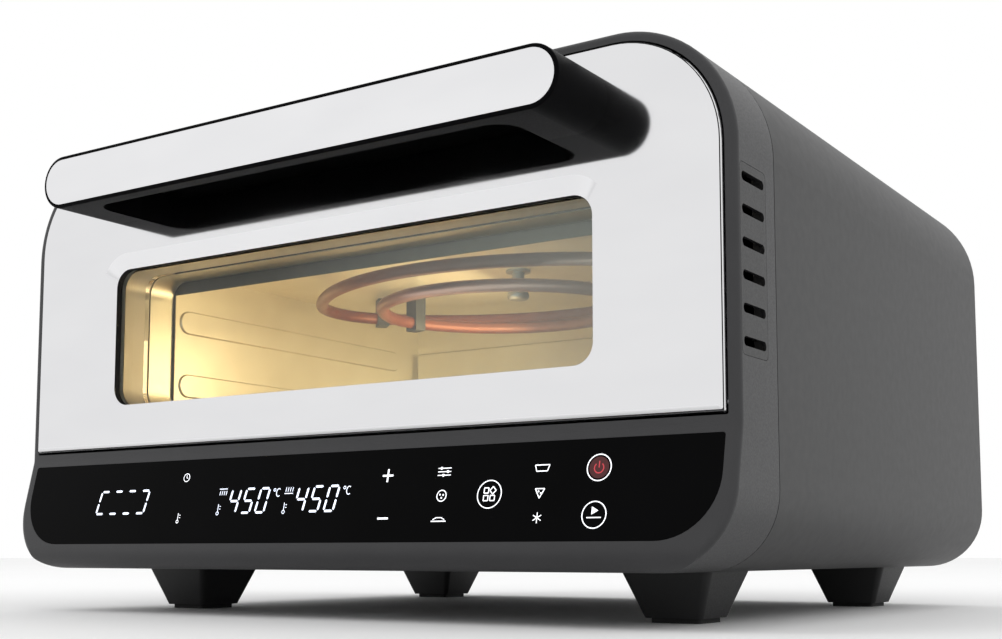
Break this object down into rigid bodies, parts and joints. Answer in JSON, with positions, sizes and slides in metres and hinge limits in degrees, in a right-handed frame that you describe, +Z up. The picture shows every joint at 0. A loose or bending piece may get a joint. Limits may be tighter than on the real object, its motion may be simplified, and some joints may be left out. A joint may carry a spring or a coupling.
{
  "type": "countertop pizza oven",
  "caption": "Countertop electric pizza oven with a drop-down glass door, a stone in a low cavity with heating loops above and below it, and a sloping touch panel.",
  "frame": {"origin": "bottom centre of the whole oven, on the plane of the foot pads", "axes": "+X right seen from the front, +Y to the rear, +Z up"},
  "size_m": [0.48, 0.449, 0.281],
  "materials": {
    "base_paint": "textured black",
    "board": "circuit board",
    "brass": "nickel-free",
    "case_steel": "galvanised",
    "cavity_steel": "bright stainless",
    "ceramic": "unglazed",
    "display": "segment display",
    "door_steel": "polished",
    "fan_plastic": "moulded black",
    "foot_plastic": "moulded",
    "foot_rubber": "matt",
    "frame_plastic": "fine satin moulded",
    "gasket": "black silicone",
    "glass": "clear toughened",
    "handle_face": "polished",
    "handle_plastic": "moulded black",
    "heater": "heat-tinted sheath",
    "hinge_steel": "zinc plated",
    "inlet_plastic": "moulded black",
    "lamp_bulb": "lit",
    "lamp_glass": "frosted",
    "liner_steel": "bright",
    "lip_steel": "browned by heat",
    "panel_glass": "gloss black printed",
    "rail_plastic": "moulded black",
    "rear_paint": "satin powder coat",
    "screw_steel": "plated",
    "seal": "woven fibreglass",
    "stone": "cordierite",
    "wool": "ceramic fibre",
    "wrap_paint": "satin anthracite powder coat"
  },
  "bodies": {
    "body": {"base_plate": "base_paint", "cavity_ceiling": "cavity_steel", "cavity_floor": "cavity_steel", "cavity_left_wall": "cavity_steel", "cavity_rear_wall": "cavity_steel", "cavity_right_wall": "cavity_steel", "control_panel_glass": "panel_glass", "element_clips": "screw_steel", "fan_frame": "fan_plastic", "fan_motor": "fan_plastic", "foot_front_left": "foot_plastic", "foot_front_right": "foot_plastic", "foot_pads": "foot_rubber", "foot_rear_left": "foot_plastic", "foot_rear_right": "foot_plastic", "foot_screws": "screw_steel", "front_frame": "frame_plastic", "hinge_pins": "hinge_steel", "housing_wrap": "wrap_paint", "inlet_pins": "brass", "inner_case": "case_steel", "insulation_floor": "wool", "insulation_rear": "wool", "insulation_sides": "wool", "insulation_top": "wool", "lamp_bulb": "lamp_bulb", "lamp_glass": "lamp_glass", "lamp_holder": "ceramic", "lower_element": "heater", "mains_inlet": "inlet_plastic", "mouth_frame": "cavity_steel", "mouth_lip": "lip_steel", "power_board": "board", "rear_panel": "rear_paint", "rear_panel_screws": "screw_steel", "stone_rails": "cavity_steel", "temperature_display": "display", "temperature_probe": "case_steel", "terminal_bushes": "ceramic", "timer_display": "display", "touch_board": "board", "upper_element_inner": "heater", "upper_element_outer": "heater", "vent_plate_left": "rail_plastic", "vent_plate_right": "rail_plastic"},
    "door": {"door_skin": "door_steel", "window_gasket": "gasket", "outer_glass": "glass", "inner_glass": "glass", "door_liner": "liner_steel", "door_insulation": "wool", "door_seal": "seal", "handle_body": "handle_plastic", "handle_face": "handle_face", "handle_screws": "screw_steel", "hinge_arm_left": "hinge_steel", "hinge_arm_right": "hinge_steel"},
    "stone": {"baking_stone": "stone"},
    "fan_rotor": {"fan_impeller": "fan_plastic"}
  },
  "joints": [
    {"name": "door_hinge", "type": "hinge", "parent": "body", "child": "door", "pos_m": [0, -0.1748, 0.1016], "axis": [1, 0, 0], "range_deg": [0, 90]},
    {"name": "stone_lift", "type": "slide", "parent": "body", "child": "stone", "axis": [0, 0, 1], "range_m": [0, 0.02]},
    {"name": "fan_spin", "type": "hinge", "parent": "body", "child": "fan_rotor", "pos_m": [0.112, 0.2125, 0.176], "axis": [0, 1, 0], "continuous": true}
  ]
}
